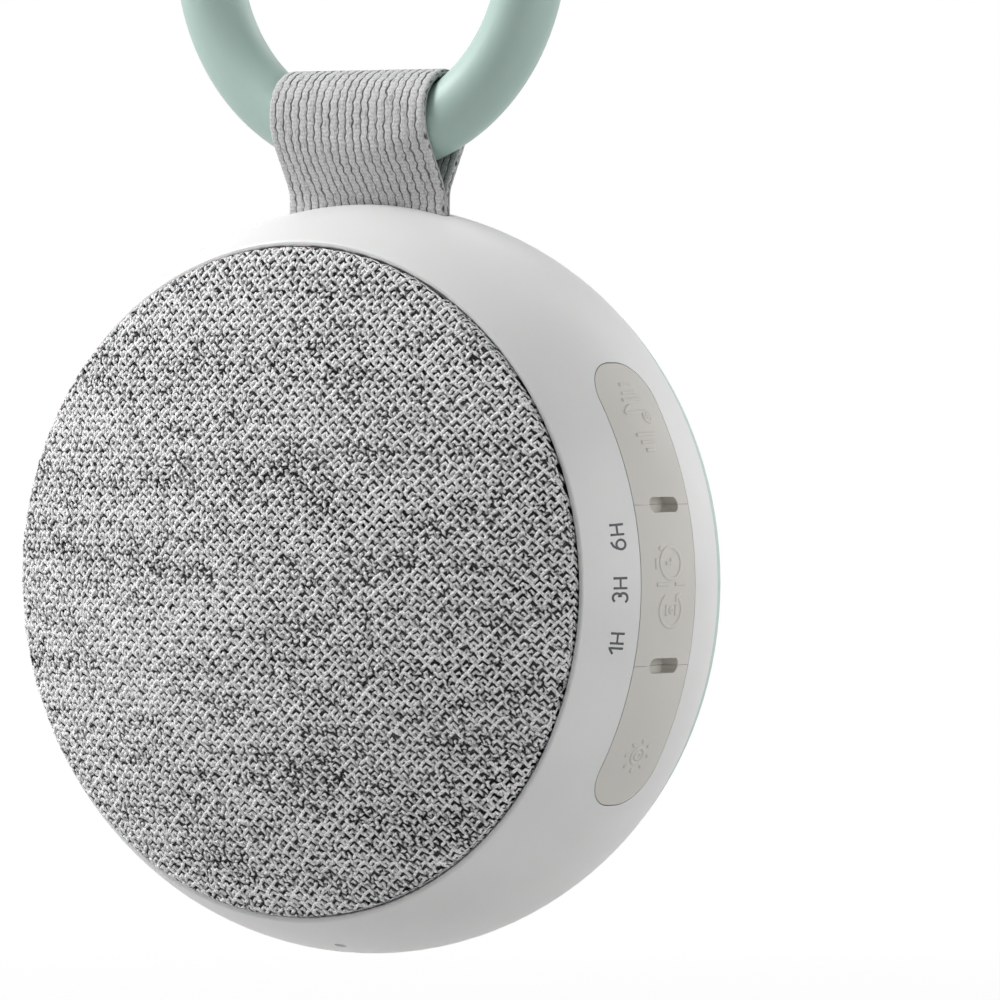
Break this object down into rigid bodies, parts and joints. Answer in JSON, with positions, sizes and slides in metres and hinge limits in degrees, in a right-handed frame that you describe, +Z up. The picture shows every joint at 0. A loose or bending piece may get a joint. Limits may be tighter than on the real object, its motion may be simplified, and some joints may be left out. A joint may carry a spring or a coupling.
{
  "type": "hanging white noise sound machine",
  "caption": "Round hanging sound machine with a grey knit front, a warm night light at the back, side keys, a webbing strap and a sage ring.",
  "frame": {"origin": "centre of the hanging ring", "axes": "+Z up along the hang line, -Y out of the knit front, +Y out of the light, +X to the right"},
  "size_m": [0.1, 0.0396, 0.1652],
  "materials": {
    "sage_plastic": "satin sage moulding",
    "steel": "plain zinc plated",
    "webbing": "ribbed heather grey webbing",
    "white_plastic": "fine matt white moulding",
    "knit": "heather grey speaker knit",
    "black_plastic": "black moulding",
    "opal": "opal light diffuser, lit warm",
    "white_reflector": "gloss white",
    "foam": "closed cell foam",
    "rubber": "moulded rubber",
    "cone_paper": "black pressed paper",
    "copper": "enamelled copper wire",
    "magnet": "nickel plated magnet",
    "battery_wrap": "foil pouch cell",
    "board_green": "solder-masked glass fibre",
    "led_yellow": "phosphor",
    "key_silicone": "matt light grey silicone",
    "stem_plastic": "white moulding"
  },
  "bodies": {
    "ring": {"hanging_ring": "sage_plastic", "gate_pin": "steel", "gate_spring": "steel"},
    "gate": {"ring_gate": "sage_plastic"},
    "strap": {"strap_loop": "webbing"},
    "diaphragm": {"speaker_cone": "cone_paper", "voice_coil": "copper", "dust_cap": "cone_paper"},
    "sound_key": {"sound_key": "key_silicone", "sound_switch_stem": "stem_plastic"},
    "timer_key": {"timer_key": "key_silicone", "timer_switch_stem": "stem_plastic"},
    "light_key": {"light_key": "key_silicone", "light_switch_stem": "stem_plastic"},
    "volume_down_key": {"volume_down_key": "key_silicone", "volume_down_switch_stem": "stem_plastic"},
    "volume_up_key": {"volume_up_key": "key_silicone", "volume_up_switch_stem": "stem_plastic"},
    "power_key": {"power_key": "key_silicone", "power_switch_stem": "stem_plastic"},
    "housing": {"bezel_ring": "sage_plastic", "strap_anchor_bar": "steel", "speaker_screws": "steel", "frame_screws": "steel", "board_screws": "steel", "magnet_pot": "steel", "magnet_top_plate": "steel", "usb_socket": "steel", "speaker_basket": "steel", "strap_tail": "webbing", "housing": "white_plastic", "knit_cover": "knit", "speaker_grille": "black_plastic", "inner_frame": "black_plastic", "right_key_switches": "black_plastic", "left_key_switches": "black_plastic", "board_chips": "black_plastic", "light_diffuser": "opal", "light_reflector": "white_reflector", "led_board": "white_reflector", "speaker_gasket": "foam", "battery_pad": "foam", "speaker_surround": "rubber", "speaker_spider": "cone_paper", "speaker_magnet": "magnet", "battery_cell": "battery_wrap", "main_board": "board_green", "right_key_board": "board_green", "left_key_board": "board_green", "led_chips": "led_yellow"}
  },
  "joints": [
    {"name": "gate_hinge", "type": "hinge", "parent": "ring", "child": "gate", "pos_m": [-0.00228, 0, 0.0261], "axis": [0, 1, 0], "range_deg": [0, 40], "stiffness_Nm_per_rad": 0.02, "springref_deg": -20.05},
    {"name": "strap_slide", "type": "hinge", "parent": "ring", "child": "strap", "pos_m": [0, 0, 0], "axis": [0, 1, 0], "range_deg": [-65, 125]},
    {"name": "housing_tilt", "type": "hinge", "parent": "strap", "child": "housing", "pos_m": [0, 0, -0.0331], "axis": [1, 0, 0], "range_deg": [-45, 45]},
    {"name": "cone_travel", "type": "slide", "parent": "housing", "child": "diaphragm", "axis": [0, 1, 0], "range_m": [-0.0006, 0.0006], "stiffness_N_per_m": 1500},
    {"name": "sound_press", "type": "slide", "parent": "housing", "child": "sound_key", "axis": [-1, 0, 0], "range_m": [0, 0.00035], "stiffness_N_per_m": 600, "springref_m": -0.0005},
    {"name": "timer_press", "type": "slide", "parent": "housing", "child": "timer_key", "axis": [-1, 0, 0], "range_m": [0, 0.00035], "stiffness_N_per_m": 600, "springref_m": -0.0005},
    {"name": "light_press", "type": "slide", "parent": "housing", "child": "light_key", "axis": [-1, 0, 0], "range_m": [0, 0.00035], "stiffness_N_per_m": 600, "springref_m": -0.0005},
    {"name": "volume_down_press", "type": "slide", "parent": "housing", "child": "volume_down_key", "axis": [1, 0, 0], "range_m": [0, 0.00035], "stiffness_N_per_m": 600, "springref_m": -0.0005},
    {"name": "volume_up_press", "type": "slide", "parent": "housing", "child": "volume_up_key", "axis": [1, 0, 0], "range_m": [0, 0.00035], "stiffness_N_per_m": 600, "springref_m": -0.0005},
    {"name": "power_press", "type": "slide", "parent": "housing", "child": "power_key", "axis": [1, 0, 0], "range_m": [0, 0.00035], "stiffness_N_per_m": 600, "springref_m": -0.0005}
  ]
}
